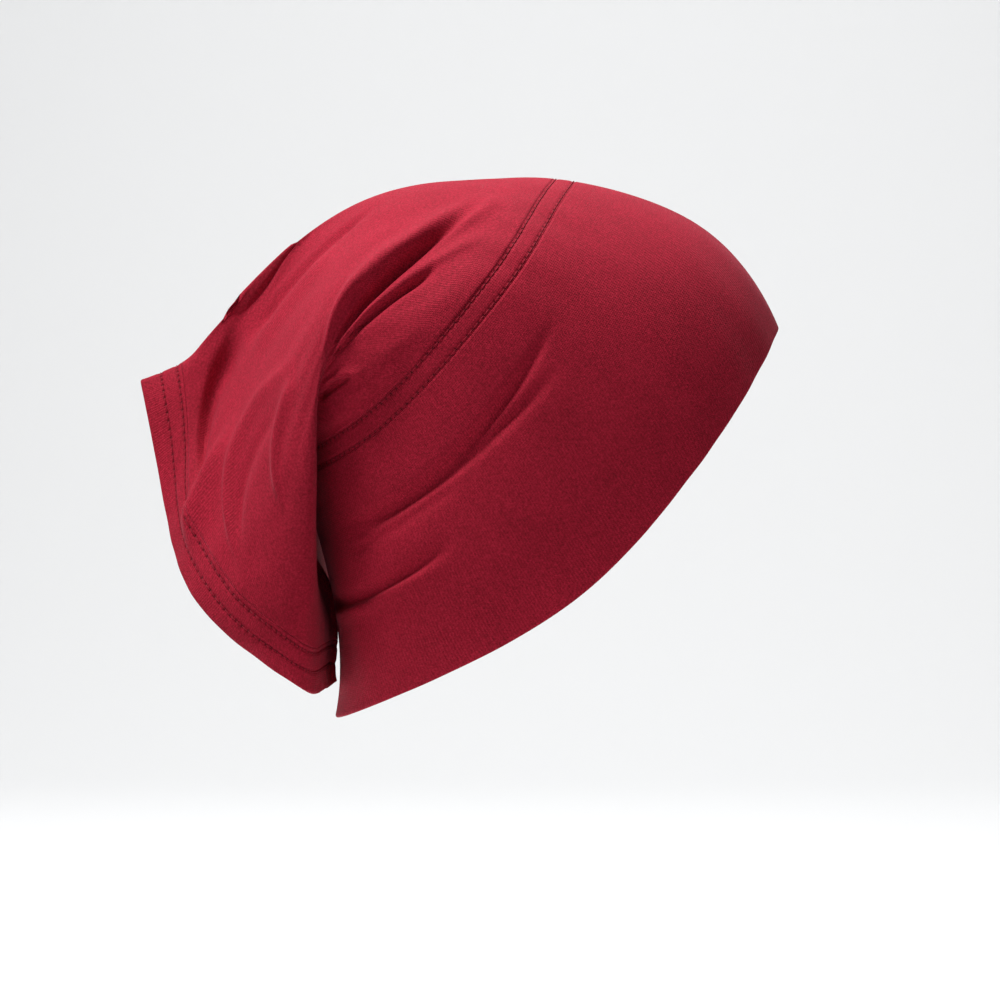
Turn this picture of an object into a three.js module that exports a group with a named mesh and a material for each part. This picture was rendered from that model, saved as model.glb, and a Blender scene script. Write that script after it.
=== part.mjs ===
import * as THREE from 'three';

// Hijab underscarf cap, with the form it has when worn: a jersey tube that runs up from the face over the
// crown, folds over behind the head and hangs down as a flap. Millimetres, +X towards the face, +Z up, mirrored
// at Y = 0. The origin is on the inside of the cloth at the crown, where the head holds the cap up.

// Sizes of the worn cap
const CAP_LENGTH = 240; // rear tip of the hem to the forehead's edge
const CAP_HEIGHT = 202; // top of the crown to the edge at the nape
const HALF_WIDTH = 79; // middle plane to the fullest point of the side

// Cloth and joins
const CLOTH = 1; // one layer of jersey
const BAND_WALL = 1.8; // front band, two layers
const SEAM_WALL = 2.4; // crown seam, where the layers of both pieces lie on each other
const HEM_WALL = 1.8; // rear hem, turned up once
const SEAM_WIDTH = 8.5; // crown seam, with both needle rows
const HEM_WIDTH = 17; // rear hem, edge to upper needle row
const JOIN_GAP = 0.3; // clearance between neighbouring pieces

// Folds
const FOLD_HEIGHT = 5; // the fold table's heights are shares of it
const FOLD_WIDTH = 8; // the fold table's widths are shares of it

// Fineness of the surface
const COLUMNS = 72; // round the tube, an even number
const METER_STEPS = 160; // steps that measure the cloth's length along the tube
const BAND_ROWS = 11;
const SEAM_ROWS = 1;
const DRAPE_ROWS = 21;
const HEM_ROWS = 3;
const PROBE = 1e-3; // share of the tube between two points that give a slope
const SPLINE_PASSES = 16; // passes that bring the splines onto the rings

// The seat at the crown, as a share of CAP_LENGTH from the hem's rear tip
const SEAT_FORWARD = 0.625;

// Rings of the tube, from the face to the hem. Each has seven points 30 degrees apart, from the tube's top down
// one side to its underside. Forward is the share of CAP_LENGTH from the rear tip, out the share of HALF_WIDTH
// from the middle plane, and down the share of CAP_HEIGHT from the top of the crown.
const RINGS = [
  {
    ring: 'face edge',
    forward: [0.998, 0.943, 0.84, 0.709, 0.549, 0.379, 0.305],
    out: [0, 0.544, 0.823, 0.937, 0.88, 0.595, 0],
    down: [0.28, 0.397, 0.57, 0.742, 0.869, 0.964, 0.999],
  },
  {
    ring: 'middle of the band',
    forward: [0.862, 0.816, 0.721, 0.595, 0.464, 0.335, 0.301],
    out: [0, 0.582, 0.886, 1, 0.924, 0.633, 0],
    down: [0.079, 0.182, 0.356, 0.532, 0.664, 0.753, 0.768],
  },
  {
    ring: 'crown seam',
    forward: [0.664, 0.634, 0.579, 0.484, 0.384, 0.293, 0.245],
    out: [0, 0.475, 0.823, 0.949, 0.823, 0.608, 0],
    down: [0.004, 0.062, 0.177, 0.323, 0.446, 0.516, 0.538],
  },
  {
    ring: 'crown',
    forward: [0.523, 0.517, 0.484, 0.413, 0.34, 0.275, 0.227],
    out: [0, 0.418, 0.759, 0.911, 0.81, 0.608, 0],
    down: [0.003, 0.046, 0.157, 0.296, 0.419, 0.471, 0.486],
  },
  {
    ring: 'fold-over',
    forward: [0.391, 0.385, 0.364, 0.326, 0.289, 0.249, 0.203],
    out: [0, 0.367, 0.722, 0.835, 0.759, 0.544, 0],
    down: [0.023, 0.07, 0.182, 0.303, 0.392, 0.42, 0.421],
  },
  {
    ring: 'upper flap',
    forward: [0.25, 0.238, 0.267, 0.275, 0.287, 0.247, 0.191],
    out: [0, 0.127, 0.633, 0.835, 0.81, 0.43, 0],
    down: [0.114, 0.186, 0.282, 0.41, 0.526, 0.557, 0.56],
  },
  {
    ring: 'lower flap',
    forward: [0.133, 0.129, 0.156, 0.205, 0.277, 0.285, 0.283],
    out: [0, 0.101, 0.456, 0.759, 0.797, 0.456, 0],
    down: [0.255, 0.375, 0.503, 0.642, 0.743, 0.76, 0.76],
  },
  {
    ring: 'hem row',
    forward: [0.072, 0.082, 0.103, 0.165, 0.26, 0.291, 0.298],
    out: [0, 0.165, 0.418, 0.722, 0.772, 0.468, 0],
    down: [0.335, 0.468, 0.602, 0.769, 0.861, 0.882, 0.885],
  },
  {
    ring: 'hem edge',
    forward: [0, 0.029, 0.062, 0.13, 0.255, 0.292, 0.301],
    out: [0, 0.152, 0.367, 0.633, 0.722, 0.456, 0],
    down: [0.374, 0.531, 0.697, 0.82, 0.93, 0.944, 0.94],
  },
];

// Folds, each through three points of the tube. Along is the share of the way from the face to the hem, turn
// the degrees from the tube's top to its underside. Height is a share of FOLD_HEIGHT, less than 0 for a crease,
// and width a share of FOLD_WIDTH. A fold runs along the tube or round it.
const FOLDS = [
  {
    fold: 'crown roll',
    runs: 'along',
    along: [0.3, 0.45, 0.585],
    turn: [37, 52.5, 84],
    height: 0.9,
    width: 1,
  },
  {
    fold: 'crown crease',
    runs: 'along',
    along: [0.34, 0.46, 0.54],
    turn: [40, 70, 106],
    height: -0.8,
    width: 1,
  },
  {
    fold: 'pinch',
    runs: 'along',
    along: [0.37, 0.43, 0.5],
    turn: [108, 109, 118],
    height: 0.4,
    width: 0.7,
  },
  {
    fold: 'upper band',
    runs: 'round',
    along: [0.182, 0.169, 0.175],
    turn: [54, 96, 160],
    height: -0.6,
    width: 0.8,
  },
  {
    fold: 'nape',
    runs: 'round',
    along: [0.117, 0.113, 0.118],
    turn: [106, 134, 178],
    height: -0.5,
    width: 0.7,
  },
  {
    fold: 'rear crease',
    runs: 'along',
    along: [0.5, 0.63, 0.74],
    turn: [21, 32.5, 27],
    height: -0.5,
    width: 0.9,
  },
  {
    fold: 'hem hollow',
    runs: 'along',
    along: [0.68, 0.76, 0.87],
    turn: [31, 27, 54],
    height: -0.6,
    width: 1,
  },
  {
    fold: 'flap swell',
    runs: 'along',
    along: [0.64, 0.735, 0.83],
    turn: [70, 60.5, 86],
    height: 0.5,
    width: 0.9,
  },
  {
    fold: 'hem knuckle',
    runs: 'along',
    along: [0.72, 0.84, 0.97],
    turn: [53, 58.5, 61],
    height: 0.7,
    width: 0.9,
  },
];
const FADE_IN = 0.3; // share of a fold over which it rises
const FADE_OUT = 0.22; // share of a fold over which it dies away

const HALF_TURN = 180;
const FULL_TURN = 360;
const LAST_RIB = RINGS[0].out.length - 1;
const RIBS = 2 * LAST_RIB;
const SEAM_ALONG = RINGS.findIndex(({ ring }) => ring === 'crown seam') / (RINGS.length - 1);

// The cloth's mean girth and length, which say how far a fold lies from a point of the tube
const GIRTH_SHARE = 5.95;
const LENGTH_SHARE = 1.19;
const GIRTH = GIRTH_SHARE * HALF_WIDTH;
const TUBE_LENGTH = LENGTH_SHARE * CAP_LENGTH;

function smoothStep(share) {
  return THREE.MathUtils.smoothstep(share, 0, 1);
}

function ribPoint(row, rib) {
  const near = rib <= LAST_RIB;
  const k = near ? rib : RIBS - rib;
  const x = (row.forward[k] - SEAT_FORWARD) * CAP_LENGTH;
  const y = (near ? -1 : 1) * row.out[k] * HALF_WIDTH;
  const z = CLOTH - row.down[k] * CAP_HEIGHT;
  return new THREE.Vector3(x, y, z);
}

// The point that follows three others with the bend they have.
function beyond(last, second, third) {
  return last.clone().sub(second).multiplyScalar(3).add(third);
}

// The row of control points with the two that lie beyond its ends, or, when it is closed, those it meets again.
function withEnds(row, closed) {
  const last = row.length - 1;
  if (closed) {
    return [row[last], ...row, row[0]];
  }
  return [beyond(row[0], row[1], row[2]), ...row, beyond(row[last], row[last - 1], row[last - 2])];
}

// Control points of a cubic spline through points. Each pass moves them by what the spline still misses.
function splineControls(points, closed) {
  let row = points;
  for (let pass = 0; pass < SPLINE_PASSES; pass += 1) {
    const wide = withEnds(row, closed);
    row = row.map((control, i) => {
      const reached = control.clone().multiplyScalar(4).add(wide[i]).add(wide[i + 2]).divideScalar(6);
      return control.clone().add(points[i]).sub(reached);
    });
  }
  return row;
}

// Control net of the tube, first round each ring and then along each rib.
function controlNet() {
  const ribsOf = (ring) => Array.from({ length: RIBS }, (_, rib) => ribPoint(ring, rib));
  const rings = RINGS.map((ring) => splineControls(ribsOf(ring), true));
  const ribs = rings[0].map((_, rib) => {
    const along = rings.map((ring) => ring[rib]);
    return withEnds(splineControls(along, false), false);
  });
  return ribs[0].map((_, row) => ribs.map((rib) => rib[row]));
}

const NET = controlNet();

// The four weights of a cubic spline, f of the way from its second control point to its third.
function splineWeights(f) {
  const sixths = [
    (1 - f) ** 3,
    3 * f ** 3 - 6 * f ** 2 + 4,
    -3 * f ** 3 + 3 * f ** 2 + 3 * f + 1,
    f ** 3,
  ];
  return sixths.map((weight) => weight / 6);
}

// The plain tube: a cubic spline surface over the control net, along from 0 at the face to 1 at the hem.
function tubePoint(along, turn) {
  const station = THREE.MathUtils.clamp(along, 0, 1) * (RINGS.length - 1);
  const row = Math.min(Math.floor(station), RINGS.length - 2);
  const position = ((turn / FULL_TURN) * RIBS + RIBS) % RIBS;
  const rib = Math.floor(position);
  const alongWeights = splineWeights(station - row);
  const turnWeights = splineWeights(position - rib);
  const point = new THREE.Vector3();
  for (let i = 0; i < 4; i += 1) {
    for (let j = 0; j < 4; j += 1) {
      const control = NET[row + i][(rib + j - 1 + RIBS) % RIBS];
      point.addScaledVector(control, alongWeights[i] * turnWeights[j]);
    }
  }
  return point;
}

// Value at share s of the curve through start at 0, middle at m and end at 1.
function throughThree(s, m, [start, middle, end]) {
  const first = (start * (s - m) * (s - 1)) / m;
  const second = (middle * s * (s - 1)) / (m * (m - 1));
  const third = (end * s * (s - m)) / (1 - m);
  return first + second + third;
}

// Height of one fold: a bell across its path, e to the minus square of the distance over the width, that fades
// at both ends.
function foldHeight({ runs, along, turn, height, width }, atAlong, atTurn) {
  const runsAlong = runs === 'along';
  const byLength = { table: along, scale: TUBE_LENGTH, at: atAlong };
  const byTurn = { table: turn, scale: GIRTH / FULL_TURN, at: atTurn };
  const lead = runsAlong ? byLength : byTurn;
  const side = runsAlong ? byTurn : byLength;
  const [start, middle, end] = lead.table;
  const run = end - start;
  const share = THREE.MathUtils.clamp((lead.at - start) / run, 0, 1);
  const path = throughThree(share, (middle - start) / run, side.table);
  const slope = ((side.table[2] - side.table[0]) * side.scale) / (run * lead.scale);
  const distance = ((side.at - path) * side.scale) / Math.hypot(1, slope);
  const fade = smoothStep(share / FADE_IN) * smoothStep((1 - share) / FADE_OUT);
  return height * FOLD_HEIGHT * fade * Math.exp(-((distance / (width * FOLD_WIDTH)) ** 2));
}

// Outward direction of a surface, from the slopes along it and round it.
function outward(surface, along, turn) {
  const before = surface(Math.max(along - PROBE, 0), turn);
  const after = surface(Math.min(along + PROBE, 1), turn);
  const left = surface(along, turn - PROBE * FULL_TURN);
  const right = surface(along, turn + PROBE * FULL_TURN);
  return after.sub(before).cross(right.sub(left)).normalize();
}

// Outer face of the cloth: the tube with its folds standing off it.
function outerPoint(along, turn) {
  const fromTop = Math.abs(((turn + HALF_TURN + FULL_TURN) % FULL_TURN) - HALF_TURN);
  const height = FOLDS.reduce((sum, fold) => sum + foldHeight(fold, along, fromTop), 0);
  return tubePoint(along, turn).addScaledVector(outward(tubePoint, along, turn), height);
}

// The cloth's lengths at one turn, from the face edge to the crown seam and to the hem, and the share along at
// which it reaches a length
function clothMeter(turn) {
  const lengths = [0];
  let previous = tubePoint(0, turn);
  for (let step = 1; step <= METER_STEPS; step += 1) {
    const point = tubePoint(step / METER_STEPS, turn);
    lengths.push(lengths[step - 1] + point.distanceTo(previous));
    previous = point;
  }
  const total = lengths[METER_STEPS];
  const seam = lengths[Math.round(SEAM_ALONG * METER_STEPS)];
  const alongAt = (length) => {
    const after = Math.max(1, lengths.findIndex((reached) => reached >= length));
    const part = (length - lengths[after - 1]) / (lengths[after] - lengths[after - 1]);
    return (after - 1 + part) / METER_STEPS;
  };
  return { total, seam, alongAt };
}

const TURNS = Array.from({ length: COLUMNS }, (_, column) => (column * FULL_TURN) / COLUMNS);
const METERS = TURNS.map(clothMeter);

// A wall of cloth between two lengths along the tube. Its inner face lies one wall inside its outer face, and
// a rim closes each end.
function clothGeometry({ start, end, rows, wall }) {
  const outer = [];
  const inner = [];
  for (let row = 0; row <= rows; row += 1) {
    for (let column = 0; column < COLUMNS; column += 1) {
      const meter = METERS[column];
      const length = THREE.MathUtils.lerp(start(meter), end(meter), row / rows);
      const along = meter.alongAt(length);
      const point = outerPoint(along, TURNS[column]);
      outer.push(point);
      inner.push(point.clone().addScaledVector(outward(outerPoint, along, TURNS[column]), -wall));
    }
  }
  const points = [...outer, ...inner];
  const faces = [];
  // Both halves are split along mirrored diagonals.
  const quad = (a, b, c, d, column) => {
    if (column < COLUMNS / 2) {
      faces.push(a, b, c, a, c, d);
    } else {
      faces.push(a, b, d, b, c, d);
    }
  };
  for (let column = 0; column < COLUMNS; column += 1) {
    const next = (column + 1) % COLUMNS;
    for (let row = 0; row < rows; row += 1) {
      const here = row * COLUMNS;
      const there = here + COLUMNS;
      quad(here + column, there + column, there + next, here + next, column);
      const innerHere = here + outer.length;
      const innerThere = there + outer.length;
      const mirrored = COLUMNS - 1 - column;
      quad(innerHere + next, innerThere + next, innerThere + column, innerHere + column, mirrored);
    }
    const last = rows * COLUMNS;
    quad(column, next, next + outer.length, column + outer.length, column);
    quad(last + next, last + column, last + column + outer.length, last + next + outer.length, column);
  }
  const geometry = new THREE.BufferGeometry();
  const coordinates = points.flatMap((p) => [p.x, p.y, p.z]);
  geometry.setAttribute('position', new THREE.Float32BufferAttribute(coordinates, 3));
  geometry.setIndex(faces);
  geometry.computeVertexNormals();
  return geometry;
}

const SEAM_HALF = SEAM_WIDTH / 2;

const PIECES = [
  {
    name: 'front_band',
    start: () => 0,
    end: ({ seam }) => seam - SEAM_HALF - JOIN_GAP,
    rows: BAND_ROWS,
    wall: BAND_WALL,
    colour: 0x801426,
    roughness: 0.9,
  },
  {
    name: 'crown_seam',
    start: ({ seam }) => seam - SEAM_HALF,
    end: ({ seam }) => seam + SEAM_HALF,
    rows: SEAM_ROWS,
    wall: SEAM_WALL,
    colour: 0x7a1022,
    roughness: 0.92,
  },
  {
    name: 'crown_drape',
    start: ({ seam }) => seam + SEAM_HALF + JOIN_GAP,
    end: ({ total }) => total - HEM_WIDTH - JOIN_GAP,
    rows: DRAPE_ROWS,
    wall: CLOTH,
    colour: 0x8a182b,
    roughness: 0.9,
  },
  {
    name: 'rear_hem',
    start: ({ total }) => total - HEM_WIDTH,
    end: ({ total }) => total,
    rows: HEM_ROWS,
    wall: HEM_WALL,
    colour: 0x7a1022,
    roughness: 0.92,
  },
];

const cap = new THREE.Group();
for (const piece of PIECES) {
  const material = new THREE.MeshStandardMaterial({
    color: piece.colour,
    roughness: piece.roughness,
    metalness: 0,
  });
  const mesh = new THREE.Mesh(clothGeometry(piece), material);
  mesh.name = piece.name;
  cap.add(mesh);
}

export default cap;
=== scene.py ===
import math

import bpy
import numpy as np
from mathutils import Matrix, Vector


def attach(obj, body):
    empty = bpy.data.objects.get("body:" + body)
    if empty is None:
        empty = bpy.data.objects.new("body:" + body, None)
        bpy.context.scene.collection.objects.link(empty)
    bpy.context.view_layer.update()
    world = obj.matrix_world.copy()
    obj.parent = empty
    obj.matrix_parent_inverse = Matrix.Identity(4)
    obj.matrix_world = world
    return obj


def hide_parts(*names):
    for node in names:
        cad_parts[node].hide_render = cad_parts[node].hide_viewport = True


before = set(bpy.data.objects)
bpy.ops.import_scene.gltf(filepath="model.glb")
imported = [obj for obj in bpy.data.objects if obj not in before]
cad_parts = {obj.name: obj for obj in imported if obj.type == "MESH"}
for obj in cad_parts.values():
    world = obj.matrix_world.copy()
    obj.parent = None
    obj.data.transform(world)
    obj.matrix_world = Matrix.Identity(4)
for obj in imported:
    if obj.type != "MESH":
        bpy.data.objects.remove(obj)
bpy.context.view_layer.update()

# Sizes of the worn cap, in metres
MM = 0.001
CAP_LENGTH = 240 * MM  # rear tip of the hem to the forehead's edge
CAP_HEIGHT = 202 * MM  # top of the crown to the edge at the nape
HALF_WIDTH = 79 * MM  # middle plane to the fullest point of the side
SEAT_FORWARD = 0.625  # the seat at the crown, as a share of CAP_LENGTH from the rear tip

# Cloth and joins
CLOTH = 1.0 * MM
BAND_WALL = 1.8 * MM
SEAM_WALL = 1.9 * MM
HEM_WALL = 1.8 * MM
SEAM_WIDTH = 8.5 * MM
HEM_WIDTH = 17 * MM
JOIN_GAP = 0.03 * MM
JOIN_RIM = 0.06 * MM  # how far a rim bulges towards a neighbouring piece

# Needle rows and the knit
NEEDLE_GAUGE = 6.7 * MM  # between the two rows of a pair
STITCH_PITCH = 3.0 * MM
THREAD = 0.36 * MM
HEM_OUTER_ROW = 8.2 * MM  # hem edge to its outer needle row
WALE = 0.9 * MM
COURSE = 0.72 * MM
FLAT_GIRTH = 450 * MM  # tube laid flat, round it once

# Rings of the tube, from the face to the hem. Each row has the share of CAP_LENGTH forward of the rear tip, the share
# of HALF_WIDTH out from the middle plane and the share of CAP_HEIGHT down from the crown's top, at seven points 30
# degrees apart from the tube's top round one side to its underside.
RINGS = (
    ("face edge", (0.998, 0.943, 0.84, 0.709, 0.549, 0.379, 0.305), (0, 0.544, 0.823, 0.937, 0.88, 0.595, 0),
     (0.28, 0.397, 0.57, 0.742, 0.869, 0.964, 0.999)),
    ("middle of the band", (0.862, 0.816, 0.721, 0.595, 0.464, 0.335, 0.301), (0, 0.582, 0.886, 1, 0.924, 0.633, 0),
     (0.079, 0.182, 0.356, 0.532, 0.664, 0.753, 0.768)),
    ("crown seam", (0.664, 0.634, 0.579, 0.484, 0.384, 0.293, 0.245), (0, 0.475, 0.823, 0.949, 0.823, 0.608, 0),
     (0.004, 0.062, 0.177, 0.323, 0.446, 0.516, 0.538)),
    ("crown", (0.523, 0.517, 0.484, 0.413, 0.34, 0.275, 0.227), (0, 0.418, 0.759, 0.911, 0.81, 0.608, 0),
     (0.003, 0.046, 0.157, 0.296, 0.419, 0.471, 0.486)),
    ("fold-over", (0.391, 0.385, 0.364, 0.326, 0.289, 0.249, 0.203), (0, 0.367, 0.722, 0.835, 0.759, 0.544, 0),
     (0.023, 0.07, 0.182, 0.303, 0.392, 0.42, 0.421)),
    ("upper flap", (0.25, 0.238, 0.267, 0.275, 0.287, 0.247, 0.191), (0, 0.127, 0.633, 0.835, 0.81, 0.43, 0),
     (0.114, 0.186, 0.282, 0.41, 0.526, 0.557, 0.56)),
    ("lower flap", (0.133, 0.129, 0.156, 0.205, 0.277, 0.285, 0.283), (0, 0.101, 0.456, 0.759, 0.797, 0.456, 0),
     (0.255, 0.375, 0.503, 0.642, 0.743, 0.76, 0.76)),
    ("hem row", (0.072, 0.082, 0.103, 0.165, 0.26, 0.291, 0.298), (0, 0.165, 0.418, 0.722, 0.772, 0.468, 0),
     (0.335, 0.468, 0.602, 0.769, 0.861, 0.882, 0.885)),
    ("hem edge", (0, 0.029, 0.062, 0.13, 0.255, 0.292, 0.301), (0, 0.152, 0.367, 0.633, 0.722, 0.456, 0),
     (0.374, 0.531, 0.697, 0.82, 0.93, 0.944, 0.94)),
)
SEAM_RING = 2

# Folds, each through three points of the tube: its name, whether it runs along the tube or round it, the shares of
# the way from the face to the hem, the degrees from the tube's top, its height and its width in millimetres, and how
# far its crest leans over, towards the tube's underside or towards the hem.
FOLDS = (
    ("crown roll", "along", (0.30, 0.45, 0.585), (37, 52.5, 84), 4.6, 7.5, 3.2),
    ("crown crease", "along", (0.33, 0.45, 0.535), (34, 63.5, 103), -5.2, 3.8, 0),
    ("second roll", "along", (0.29, 0.41, 0.52), (55, 66, 103), 1.5, 4.0, 1.4),
    ("second crease", "along", (0.37, 0.445, 0.515), (66, 80, 114), -3.4, 2.8, 0),
    ("pinch ridge", "along", (0.385, 0.43, 0.48), (111.5, 109.3, 120), 1.5, 3.6, 0.6),
    ("pinch crease", "round", (0.418, 0.44, 0.449), (108, 117, 133), -3.4, 2.4, 0),
    ("band hollow", "round", (0.182, 0.169, 0.175), (52, 96, 165), -0.9, 6.5, 0),
    ("upper band crease", "round", (0.182, 0.169, 0.175), (60, 96, 150), -2.6, 1.5, -0.8),
    ("lower band crease", "round", (0.152, 0.159, 0.163), (66, 98, 150), -2.0, 1.5, -0.5),
    ("faint band crease", "round", (0.148, 0.150, 0.150), (104, 120, 148), -0.9, 1.6, 0),
    ("nape crease", "round", (0.117, 0.113, 0.118), (112, 134, 176), -2.6, 2.0, -0.8),
    ("nape lip", "round", (0.098, 0.101, 0.108), (112, 136, 176), 1.0, 2.2, 1.2),
    ("rear ridge", "round", (0.61, 0.634, 0.652), (1, 13, 26), 0.8, 3.0, 0.3),
    ("rear crease", "along", (0.50, 0.63, 0.70), (22, 33, 31), -2.0, 4.2, 0),
    ("rear roll", "along", (0.55, 0.63, 0.70), (38, 42, 40), 1.4, 5.0, -2.0),
    ("hem hollow", "along", (0.69, 0.77, 0.87), (31, 28, 54), -4.4, 8.0, 0),
    ("flap swell", "along", (0.64, 0.735, 0.83), (70, 60.5, 86), 2.2, 4.5, -1.0),
    ("flap hollow", "along", (0.67, 0.73, 0.80), (74, 71, 84), -1.4, 4.0, 0),
    ("flap roll", "along", (0.645, 0.675, 0.72), (75, 76, 95), 1.8, 3.6, 0),
    ("hem knuckle", "along", (0.72, 0.84, 0.97), (53, 58.5, 61), 3.6, 7.0, -2.4),
    ("closing seam", "along", (0.62, 0.85, 1.08), (180, 180, 180), 2.2, 3.0, 0),
    ("slack by the nape", "along", (0.55, 0.67, 0.79), (180, 180, 180), 2.2, 6.0, 0),
)
TUBE = 285 * MM  # mean length of the cloth from the face to the hem
GIRTH = 470 * MM  # mean girth of the worn tube
FADE_IN, FADE_OUT = 0.3, 0.22

# Slack in the cloth: long low waves of a few seeded directions
RIPPLES = 26
RIPPLE_HEIGHT = 0.10 * MM
RIPPLE_SEED = 11

# Fineness
PASSES = 16
COLUMNS = 480
METER_STEPS = 400
PROBE = 4e-4

half = len(RINGS[0][1])
ribs = 2 * (half - 1)


def spline_controls(points, closed):
    """Control points of cubic splines through points, along the first axis. Each pass moves them by what the splines
    still miss the points by. An open spline keeps its bend at its ends, and has one control point beyond each."""
    controls = points
    for _ in range(PASSES):
        if closed:
            row = np.concatenate([controls[-1:], controls, controls[:1]])
        else:
            before = 3 * (controls[:1] - controls[1:2]) + controls[2:3]
            after = 3 * (controls[-1:] - controls[-2:-1]) + controls[-3:-2]
            row = np.concatenate([before, controls, after])
        controls = controls + points - (row[:-2] + 4 * controls + row[2:]) / 6
    return controls if closed else row


def control_net():
    """Control points of the spline surface through the rings, first round each ring and then along the tube."""
    forward, out, down = np.array([row[1:] for row in RINGS]).transpose(1, 0, 2)
    near = np.stack([(forward - SEAT_FORWARD) * CAP_LENGTH, -out * HALF_WIDTH, CLOTH - down * CAP_HEIGHT], -1)
    far = near[:, -2:0:-1] * [1, -1, 1]
    points = np.concatenate([near, far], axis=1)
    rounded = spline_controls(points.transpose(1, 0, 2), True).transpose(1, 0, 2)
    return spline_controls(rounded, False)


NET = control_net()


def spline_weights(f):
    """Weights of the four control points of a uniform cubic spline, at share f of its middle span."""
    return np.stack([(1 - f) ** 3, 3 * f**3 - 6 * f**2 + 4, -3 * f**3 + 3 * f**2 + 3 * f + 1, f**3]) / 6


def tube_point(along, turn):
    """The plain tube: the weighted sum of sixteen control points, along from 0 at the face to 1 at the hem and turn
    in degrees round it from the top."""
    station = np.clip(along, 0, 1) * (len(RINGS) - 1)
    row = np.minimum(station.astype(int), len(RINGS) - 2)
    place = (turn / 360 * ribs) % ribs
    rib = place.astype(int) % ribs
    by_row, by_rib = spline_weights(station - row), spline_weights(place - np.floor(place))
    point = np.zeros(np.shape(along) + (3,))
    for i in range(4):
        for j in range(4):
            point += (by_row[i] * by_rib[j])[..., None] * NET[row + i, (rib + j - 1) % ribs]
    return point


def through_three(share, middle, values):
    """The parabola with the first value at 0, the second at middle and the third at 1."""
    first = values[0] * (share - middle) * (share - 1) / middle
    second = values[1] * share * (share - 1) / (middle * (middle - 1))
    return first + second + values[2] * share * (share - middle) / (1 - middle)


def smooth(share):
    share = np.clip(share, 0, 1)
    return share * share * (3 - 2 * share)


def fold_shapes(along, turn):
    """Height of the folds, and how far they lean down the side and towards the hem. Each fold is a bell, e to the
    minus square of the distance from its path over its width, that fades at both ends of the path."""
    from_top = np.abs((turn + 180) % 360 - 180)
    side_sign = np.where(turn % 360 < 180, 1, -1)
    height, sideways, onward = np.zeros((3,) + np.shape(along))
    for _, runs, alongs, turns, tall, width, lean in FOLDS:
        if runs == "along":
            lead, side, at, across, lead_scale, side_scale = alongs, turns, along, from_top, TUBE, GIRTH / 360
        else:
            lead, side, at, across, lead_scale, side_scale = turns, alongs, from_top, along, GIRTH / 360, TUBE
        run = lead[2] - lead[0]
        share = np.clip((at - lead[0]) / run, 0, 1)
        path = through_three(share, (lead[1] - lead[0]) / run, side)
        slope = (side[2] - side[0]) * side_scale / (run * lead_scale)
        distance = (across - path) * side_scale / math.hypot(1, slope) / (width * MM)
        bell = MM * smooth(share / FADE_IN) * smooth((1 - share) / FADE_OUT) * np.exp(-(distance**2))
        height += tall * bell
        if runs == "along":
            sideways += lean * bell * side_sign
        else:
            onward += lean * bell
    return height, sideways, onward


def ripple_heights(along, turn):
    """Slack: a sum of sine waves that run mostly along the tube, whole in number round it."""
    draw = np.random.default_rng(RIPPLE_SEED)
    total = np.zeros(np.shape(along))
    for _ in range(RIPPLES):
        round_count = draw.integers(4, 34)
        along_count = draw.uniform(-9, 9)
        phase = draw.uniform(0, 2 * math.pi)
        total += np.sin(np.radians(turn) * round_count + 2 * math.pi * along_count * along + phase)
    return total * RIPPLE_HEIGHT / math.sqrt(RIPPLES / 2)


def directions(surface, along, turn):
    """Unit vectors of a surface along the tube, round it and outward, from its slopes."""
    onward = surface(np.minimum(along + PROBE, 1), turn) - surface(np.maximum(along - PROBE, 0), turn)
    sideways = surface(along, turn + PROBE * 360) - surface(along, turn - PROBE * 360)
    ways = np.stack([onward, sideways, np.cross(onward, sideways)])
    return ways / np.linalg.norm(ways, axis=-1, keepdims=True)


def cloth_point(along, turn):
    """Outer face of the cloth: the tube with its folds and slack standing off it and leaning along it."""
    height, sideways, onward = fold_shapes(along, turn)
    height = height + ripple_heights(along, turn)
    to_hem, to_side, out = directions(tube_point, along, turn)
    moved = to_hem * onward[..., None] + to_side * sideways[..., None] + out * height[..., None]
    return tube_point(along, turn) + moved


def outward(along, turn):
    return directions(cloth_point, along, turn)[2]


def meter(turns):
    """Length of the cloth from the face edge, measured in steps along the tube at each turn."""
    steps = np.linspace(0, 1, METER_STEPS + 1)[:, None]
    points = tube_point(steps + 0 * turns, turns + 0 * steps)
    lengths = np.linalg.norm(np.diff(points, axis=0), axis=-1).cumsum(0)
    return np.concatenate([np.zeros((1, len(turns))), lengths])


def along_at(lengths, wanted):
    """Share along the tube at which each column of the cloth reaches a length. The columns are laid end to end, one
    metre apart, so that one interpolation serves them all."""
    columns = np.arange(lengths.shape[1])
    steps = np.linspace(0, 1, METER_STEPS + 1)[:, None] + 0 * lengths
    found = np.interp((wanted + columns).T.ravel(), (lengths + columns).T.ravel(), steps.T.ravel())
    return found.reshape(len(columns), -1).T


TURNS = np.arange(COLUMNS) * 360 / COLUMNS
LENGTHS = meter(TURNS)
SEAM_AT = LENGTHS[round(SEAM_RING / (len(RINGS) - 1) * METER_STEPS)]
HEM_AT = LENGTHS[-1]


def link(name, mesh):
    piece = bpy.data.objects.new(name, mesh)
    bpy.context.scene.collection.objects.link(piece)
    return piece


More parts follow.
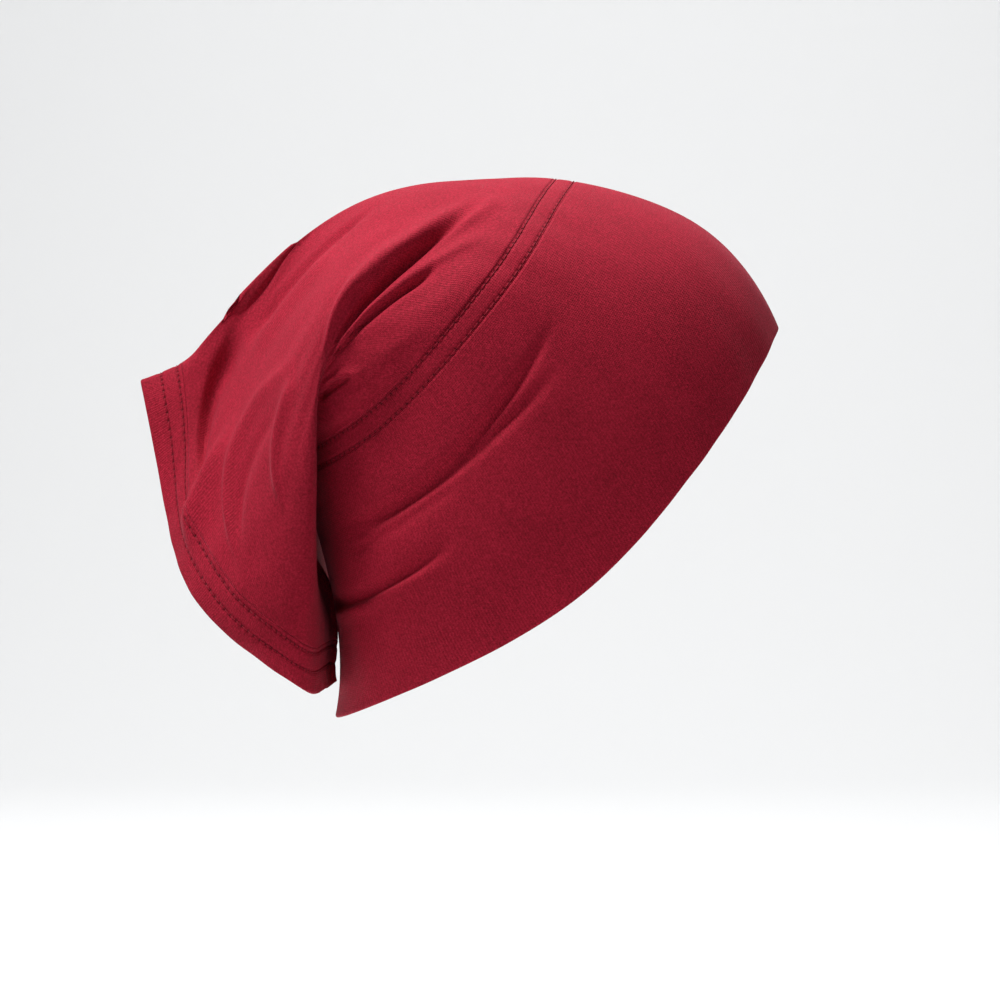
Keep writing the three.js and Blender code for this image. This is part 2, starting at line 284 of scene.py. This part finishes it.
def mesh_from_grid(name, points, uv, wrap_rows):
    """A mesh over rows and columns of points, closed round the columns and, with wrap_rows, from the last row to the
    first."""
    rows, columns = points.shape[:2]
    last = rows if wrap_rows else rows - 1
    r, c = np.meshgrid(np.arange(last), np.arange(columns), indexing="ij")
    r_next, c_next = (r + 1) % rows, (c + 1) % columns
    corners = np.stack([r * columns + c, r_next * columns + c, r_next * columns + c_next, r * columns + c_next], -1)
    mesh = bpy.data.meshes.new(name)
    mesh.vertices.add(rows * columns)
    mesh.vertices.foreach_set("co", points.reshape(-1).astype(np.float32))
    count = corners.shape[0] * corners.shape[1]
    mesh.loops.add(4 * count)
    mesh.loops.foreach_set("vertex_index", corners.reshape(-1).astype(np.int32))
    mesh.polygons.add(count)
    mesh.polygons.foreach_set("loop_start", np.arange(0, 4 * count, 4, dtype=np.int32))
    mesh.polygons.foreach_set("use_smooth", np.ones(count, bool))
    mesh.update(calc_edges=True)
    u_here, u_next = c / columns, (c + 1) / columns
    u = np.stack([u_here, u_here, u_next, u_next], -1) * FLAT_GIRTH
    v = np.stack([uv[r, c], uv[r_next, c], uv[r_next, c_next], uv[r, c_next]], -1)
    layer = mesh.uv_layers.new(name="cloth")
    layer.data.foreach_set("uv", np.stack([u, v], -1).reshape(-1).astype(np.float32))
    mesh.validate()
    return mesh


def cloth_shell(name, start, end, zero, rows, inner_rows, wall, rims, relief):
    """A closed wall of cloth between two lengths. Its profile runs along the outer face, round half an ellipse at
    the end, back along the inner face and round half an ellipse at the start, and is carried round the tube."""
    start_rim, end_rim = rims
    half_wall = wall / 2
    turn_share = np.linspace(0, math.pi, 7)[1:-1]
    out_share, in_share = np.linspace(0, 1, rows), np.linspace(1, 0, inner_rows)
    low, high = start + start_rim, end - end_rim
    reach = [low + (high - low) * share for share in out_share]
    reach += [high + end_rim * math.sin(angle) for angle in turn_share]
    reach += [low + (high - low) * share for share in in_share]
    reach += [low - start_rim * math.sin(angle) for angle in turn_share]
    depth = [0.0] * rows + [half_wall * (1 - math.cos(angle)) for angle in turn_share]
    depth += [wall] * inner_rows + [half_wall * (1 + math.cos(angle)) for angle in turn_share]
    reach, depth = np.array(reach), np.array(depth)[:, None]
    along = along_at(LENGTHS, reach)
    turn = TURNS + 0 * along
    measure = reach - zero
    lift = relief(measure, turn) * (depth < half_wall) - depth
    points = cloth_point(along, turn) + outward(along, turn) * lift[..., None]
    return link(name, mesh_from_grid(name, points, measure, True))


def groove(measure, row, width, depth):
    """A bell-shaped groove along a needle row."""
    return -depth * np.exp(-(((measure - row) / width) ** 2))


def puckers(turn, depth):
    """Small puckers between stitches, one wave to each stitch pitch."""
    return depth * np.cos(2 * math.pi * turn / 360 * FLAT_GIRTH / STITCH_PITCH)


ROW_DEPTH = 0.30 * MM
ROW_WIDTH = 0.9 * MM
PUCKER = 0.04 * MM


def rows_relief(*rows):
    """Relief of a piece that holds needle rows: a groove with puckers at each."""
    def relief(measure, turn):
        total = np.zeros_like(measure)
        for row in rows:
            bell = groove(measure, row, ROW_WIDTH, ROW_DEPTH)
            total += bell * (1 + puckers(turn, PUCKER / ROW_DEPTH))
        return total
    return relief


def plain(measure, turn):
    return np.zeros_like(measure)


half_gauge = NEEDLE_GAUGE / 2
half_seam = SEAM_WIDTH / 2
hem_rows = (-HEM_OUTER_ROW, -HEM_OUTER_ROW - NEEDLE_GAUGE)

band_cloth = cloth_shell(
    "band_cloth", 0 * SEAM_AT, SEAM_AT - half_seam - JOIN_GAP, SEAM_AT, 110, 60, BAND_WALL,
    (BAND_WALL / 2, JOIN_RIM), plain)
seam_cloth = cloth_shell(
    "seam_cloth", SEAM_AT - half_seam, SEAM_AT + half_seam, SEAM_AT, 24, 8, SEAM_WALL,
    (JOIN_RIM, JOIN_RIM), rows_relief(-half_gauge, half_gauge))
drape_cloth = cloth_shell(
    "drape_cloth", SEAM_AT + half_seam + JOIN_GAP, HEM_AT - HEM_WIDTH - JOIN_GAP, SEAM_AT, 144, 50, CLOTH,
    (JOIN_RIM, JOIN_RIM), plain)
hem_cloth = cloth_shell(
    "hem_cloth", HEM_AT - HEM_WIDTH, HEM_AT, HEM_AT, 36, 10, HEM_WALL,
    (JOIN_RIM, HEM_WALL / 2), rows_relief(*hem_rows))


def row_points(zero, row, shares):
    """Points of a needle row and the outward direction there, at shares of the way round the tube."""
    turn = shares * 360
    at = np.interp(turn % 360, np.append(TURNS, 360), np.append(zero, zero[0])) + row
    lengths = meter(turn)
    along = along_at(lengths, at[None, :])[0]
    return cloth_point(along, turn), outward(along, turn)


def needle_row(zero, row, rise):
    """Vertices and quads of one row of stitches. Each stitch is a spindle of eight sides from one needle hole to the
    next, arched off the cloth by a half sine and thinned to its ends."""
    count = round(FLAT_GIRTH / STITCH_PITCH)
    rings, sides = 7, 8
    holes = np.arange(count + 1) / count
    spots, normals = row_points(zero, row, holes)
    first, last = spots[:-1, None], spots[1:, None]
    share = np.linspace(0.03, 0.97, rings)[None, :, None]
    up = (normals[:-1, None] * (1 - share) + normals[1:, None] * share)
    arch = np.sin(math.pi * share)
    core = first * (1 - share) + last * share + up * (rise * (arch - 0.35) - ROW_DEPTH * 0.6)
    ahead = (last - first) / np.linalg.norm(last - first, axis=-1, keepdims=True)
    across = np.cross(up, ahead)
    radius = THREAD / 2 * (0.35 + 0.65 * np.sqrt(arch))
    angle = np.arange(sides) * 2 * math.pi / sides
    ring = np.cos(angle)[:, None] * across[:, :, None] + np.sin(angle)[:, None] * up[:, :, None]
    points = core[:, :, None] + ring * radius[..., None]
    return points.reshape(-1, 3), spindle_quads(count, rings, sides)


def spindle_quads(count, rings, sides):
    s, r, k = np.meshgrid(np.arange(count), np.arange(rings - 1), np.arange(sides), indexing="ij")
    base = (s * rings + r) * sides
    after = (k + 1) % sides
    quads = np.stack([base + k, base + after, base + sides + after, base + sides + k], -1).reshape(-1, 4)
    return quads


def stitches(name, zero, rows, rise):
    """All stitches of a seam as one mesh."""
    parts = [needle_row(zero, row, rise) for row in rows]
    offsets = np.cumsum([0] + [len(points) for points, _ in parts[:-1]])
    points = np.concatenate([p for p, _ in parts])
    quads = np.concatenate([q + o for (_, q), o in zip(parts, offsets)])
    mesh = bpy.data.meshes.new(name)
    mesh.from_pydata(points.tolist(), [], quads.tolist())
    mesh.polygons.foreach_set("use_smooth", np.ones(len(quads), bool))
    mesh.validate()
    return link(name, mesh)


seam_stitches = stitches("seam_stitches", SEAM_AT, (-half_gauge, half_gauge), 0.30 * MM)
hem_stitches = stitches("hem_stitches", HEM_AT, hem_rows, 0.30 * MM)


# Materials
def node(tree, kind, **inputs):
    made = tree.nodes.new(kind)
    for key, value in inputs.items():
        setattr(made, key, value)
    return made


def maths(tree, operation, *values):
    """A Math node on numbers or sockets, and its result."""
    made = node(tree, "ShaderNodeMath", operation=operation)
    for slot_number, value in enumerate(values):
        if isinstance(value, (int, float)):
            made.inputs[slot_number].default_value = value
        else:
            tree.links.new(value, made.inputs[slot_number])
    return made.outputs[0]


def wave(tree, value, period):
    """Cosine of a length, from -1 to 1, one wave to each period."""
    return maths(tree, "COSINE", maths(tree, "MULTIPLY", value, 2 * math.pi / period))


def noise(tree, vector, scale, detail):
    made = node(tree, "ShaderNodeTexNoise")
    made.inputs["Scale"].default_value = scale
    made.inputs["Detail"].default_value = detail
    tree.links.new(vector, made.inputs["Vector"])
    return made.outputs["Fac"]


def knit_height(tree, u, v):
    """Face of a jersey: a ridge for each wale, with a chain of slanted loops down it."""
    ridge = wave(tree, u, WALE)
    share = maths(tree, "FRACT", maths(tree, "DIVIDE", u, WALE))
    slant = maths(tree, "ABSOLUTE", maths(tree, "SUBTRACT", share, 0.5))
    loops = wave(tree, maths(tree, "ADD", v, maths(tree, "MULTIPLY", slant, COURSE)), COURSE)
    return maths(tree, "ADD", maths(tree, "MULTIPLY", ridge, 0.55), maths(tree, "MULTIPLY", loops, 0.45))


def needle_holes(tree, u, v, rows):
    """1 in the needle holes of the rows and 0 between them: a bell round each hole. It masks the painted shade in the
    holes and their dent in the bump.
    """
    share = maths(tree, "FRACT", maths(tree, "ADD", maths(tree, "DIVIDE", u, STITCH_PITCH), 0.5))
    beside = maths(tree, "MULTIPLY", maths(tree, "SUBTRACT", share, 0.5), STITCH_PITCH / HOLE)
    beside = maths(tree, "POWER", maths(tree, "ABSOLUTE", beside), 2.0)
    total = 0.0
    for row in rows:
        off = maths(tree, "MULTIPLY", maths(tree, "ABSOLUTE", maths(tree, "SUBTRACT", v, row)), 1 / HOLE)
        reach = maths(tree, "ADD", maths(tree, "POWER", off, 2.0), beside)
        total = maths(tree, "ADD", maths(tree, "EXPONENT", maths(tree, "MULTIPLY", reach, -1.0)), total)
    return total


HOLE = 0.5 * MM
WINE_DEEP = (0.215, 0.0042, 0.0150, 1)
WINE = (0.330, 0.0072, 0.0245, 1)
WINE_LIGHT = (0.460, 0.0130, 0.0390, 1)
# Painted shade: the near-black colour put into the needle holes
HOLE_PAINTED_SHADE = (0.030, 0.0010, 0.0025, 1)
MIX_A, MIX_B, MIX_COLOUR = 6, 7, 2  # a colour Mix node's sockets


def jersey(name, rows):
    """Wine-red jersey with fine wales, a speckled heather with painted shade between the knit's loops, a soft nap
    and, on seamed pieces, needle holes filled with painted shade.
    """
    material = bpy.data.materials.new(name)
    material.use_nodes = True
    tree = material.node_tree
    shader = tree.nodes["Principled BSDF"]
    split = node(tree, "ShaderNodeSeparateXYZ")
    tree.links.new(node(tree, "ShaderNodeUVMap", uv_map="cloth").outputs["UV"], split.inputs[0])
    u, v = split.outputs["X"], split.outputs["Y"]
    place = node(tree, "ShaderNodeTexCoord").outputs["Object"]
    knit = knit_height(tree, u, v)
    speckle = noise(tree, place, 1300.0, 2.0)
    cloud = noise(tree, place, 45.0, 3.0)
    tone = maths(tree, "ADD", maths(tree, "MULTIPLY", speckle, 1.1), maths(tree, "MULTIPLY", cloud, 0.25))
    # The knit term lightens the raised loops and darkens the grooves between them, which is painted shade; the
    # speckle and cloud terms are a random heather
    tone = maths(tree, "ADD", tone, maths(tree, "MULTIPLY", knit, 0.10))
    ramp = node(tree, "ShaderNodeValToRGB")
    ramp.color_ramp.elements[0].position = 0.40
    ramp.color_ramp.elements[0].color = WINE_DEEP
    ramp.color_ramp.elements[1].position = 0.95
    ramp.color_ramp.elements[1].color = WINE_LIGHT
    ramp.color_ramp.elements.new(0.67).color = WINE
    tree.links.new(tone, ramp.inputs["Fac"])
    colour = ramp.outputs["Color"]
    height = maths(tree, "ADD", knit, maths(tree, "MULTIPLY", speckle, 1.2))
    if rows:
        holes = needle_holes(tree, u, v, rows)
        # Paint shade into the needle holes: mix the cloth's colour towards near-black painted shade
        mix = node(tree, "ShaderNodeMix", data_type="RGBA")
        mix.inputs[MIX_B].default_value = HOLE_PAINTED_SHADE
        tree.links.new(maths(tree, "MINIMUM", holes, 1.0), mix.inputs["Factor"])
        tree.links.new(colour, mix.inputs[MIX_A])
        colour = mix.outputs[MIX_COLOUR]
        height = maths(tree, "SUBTRACT", height, maths(tree, "MULTIPLY", holes, 3.0))
    tree.links.new(colour, shader.inputs["Base Color"])
    bump = node(tree, "ShaderNodeBump")
    bump.inputs["Strength"].default_value = 0.6
    bump.inputs["Distance"].default_value = 0.12 * MM
    tree.links.new(height, bump.inputs["Height"])
    tree.links.new(bump.outputs["Normal"], shader.inputs["Normal"])
    shader.inputs["Roughness"].default_value = 0.8
    shader.inputs["Specular IOR Level"].default_value = 0.14
    shader.inputs["Sheen Weight"].default_value = 0.12
    shader.inputs["Sheen Roughness"].default_value = 0.4
    shader.inputs["Sheen Tint"].default_value = (1, 0.30, 0.38, 1)
    return material


def thread(name):
    """Matching sewing thread, a little lighter and glossier than the cloth, with a fine ply."""
    material = bpy.data.materials.new(name)
    material.use_nodes = True
    tree = material.node_tree
    shader = tree.nodes["Principled BSDF"]
    place = node(tree, "ShaderNodeTexCoord").outputs["Object"]
    ply = noise(tree, place, 4000.0, 1.0)
    ramp = node(tree, "ShaderNodeValToRGB")
    ramp.color_ramp.elements[0].position = 0.3
    ramp.color_ramp.elements[0].color = (0.17, 0.004, 0.012, 1)
    ramp.color_ramp.elements[1].position = 0.75
    ramp.color_ramp.elements[1].color = (0.42, 0.014, 0.038, 1)
    tree.links.new(ply, ramp.inputs["Fac"])
    tree.links.new(ramp.outputs["Color"], shader.inputs["Base Color"])
    shader.inputs["Roughness"].default_value = 0.6
    shader.inputs["Specular IOR Level"].default_value = 0.15
    return material


band_jersey = jersey("wine_jersey", ())
seam_jersey = jersey("seam_jersey", (-half_gauge, half_gauge))
hem_jersey = jersey("hem_jersey", hem_rows)
needle_thread = thread("needle_thread")

DRESS = (
    (band_cloth, band_jersey, "jersey", "front_band"),
    (seam_cloth, seam_jersey, "stitched_jersey", "crown_seam"),
    (drape_cloth, band_jersey, "jersey", "crown_drape"),
    (hem_cloth, hem_jersey, "stitched_jersey", "rear_hem"),
    (seam_stitches, needle_thread, "stitched_jersey", None),
    (hem_stitches, needle_thread, "stitched_jersey", None),
)
for piece, material, slot_name, cad_node in DRESS:
    piece.data.materials.append(material)
    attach(piece, "root")
    if cad_node:
        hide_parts(cad_node)


# Stage: a pale floor that curves up into a backdrop
FLOOR_Z = -0.34
BACK_Y = 2.6  # farther off than the camera, which also looks from behind
BEND = 0.9
PALE = (0.775, 0.78, 0.785, 1)


def sweep_stage():
    """Floor, quarter bend and wall in one sheet: a straight run, a quarter circle and a straight rise, carried
    sideways."""
    angles = np.linspace(0, math.pi / 2, 24)
    depth = np.concatenate([[-4.0, BACK_Y - BEND], BACK_Y - BEND + BEND * np.sin(angles[1:]), [BACK_Y]])
    height = np.concatenate([[0, 0], BEND - BEND * np.cos(angles[1:]), [4.0]]) + FLOOR_Z
    across = np.array([-5.0, 5.0])
    points = np.stack(np.broadcast_arrays(across[None, :], depth[:, None], height[:, None]), -1)
    rows = len(depth)
    quads = [(2 * r, 2 * r + 1, 2 * r + 3, 2 * r + 2) for r in range(rows - 1)]
    mesh = bpy.data.meshes.new("stage")
    mesh.from_pydata(points.reshape(-1, 3).tolist(), [], quads)
    mesh.polygons.foreach_set("use_smooth", np.ones(len(quads), bool))
    stage = link("stage", mesh)
    material = bpy.data.materials.new("pale_paper")
    material.use_nodes = True
    shader = material.node_tree.nodes["Principled BSDF"]
    shader.inputs["Base Color"].default_value = PALE
    shader.inputs["Roughness"].default_value = 0.9
    shader.inputs["Specular IOR Level"].default_value = 0.1
    mesh.materials.append(material)
    return stage


sweep_stage()


def soft_light(name, place, aim, size, watts):
    lamp = bpy.data.lights.new(name, "AREA")
    lamp.shape = "DISK"
    lamp.size = size
    lamp.energy = watts
    made = link(name, lamp)
    made.location = place
    way = np.array(aim) - np.array(place)
    made.rotation_mode = "QUATERNION"
    made.rotation_quaternion = Vector(way).to_track_quat("-Z", "Y")
    return made


CENTRE = (-0.03, 0, -0.10)
soft_light("key", (-0.52, -0.14, 1.15), CENTRE, 0.34, 25)
soft_light("fill", (0.5, -1.7, 0.3), CENTRE, 1.2, 1.5)
soft_light("wall", (0.1, 1.0, 1.9), (0.0, 2.3, -0.3), 1.8, 46)

world = bpy.data.worlds.new("studio")
bpy.context.scene.world = world
world.use_nodes = True
world.node_tree.nodes["Background"].inputs["Color"].default_value = (1, 1, 1, 1)
world.node_tree.nodes["Background"].inputs["Strength"].default_value = 0.11
bpy.context.scene.view_settings.view_transform = "Standard"

# Camera: level, looking along +Y, with 375 mm of the cap's middle plane across the view
PIXELS = 1000
PIXEL = 0.375 * MM
EYE_DISTANCE = 1.6
SEAT_PIXEL = (540, 178.4)
camera_data = bpy.data.cameras.new("camera")
camera_data.sensor_width = 36
camera_data.lens = camera_data.sensor_width * EYE_DISTANCE / (PIXELS * PIXEL)
camera = link("camera", camera_data)
middle = PIXELS / 2
camera.location = ((middle - SEAT_PIXEL[0]) * PIXEL, -EYE_DISTANCE, (SEAT_PIXEL[1] - middle) * PIXEL + CLOTH)
camera.rotation_euler = (math.pi / 2, 0, 0)
bpy.context.scene.camera = camera
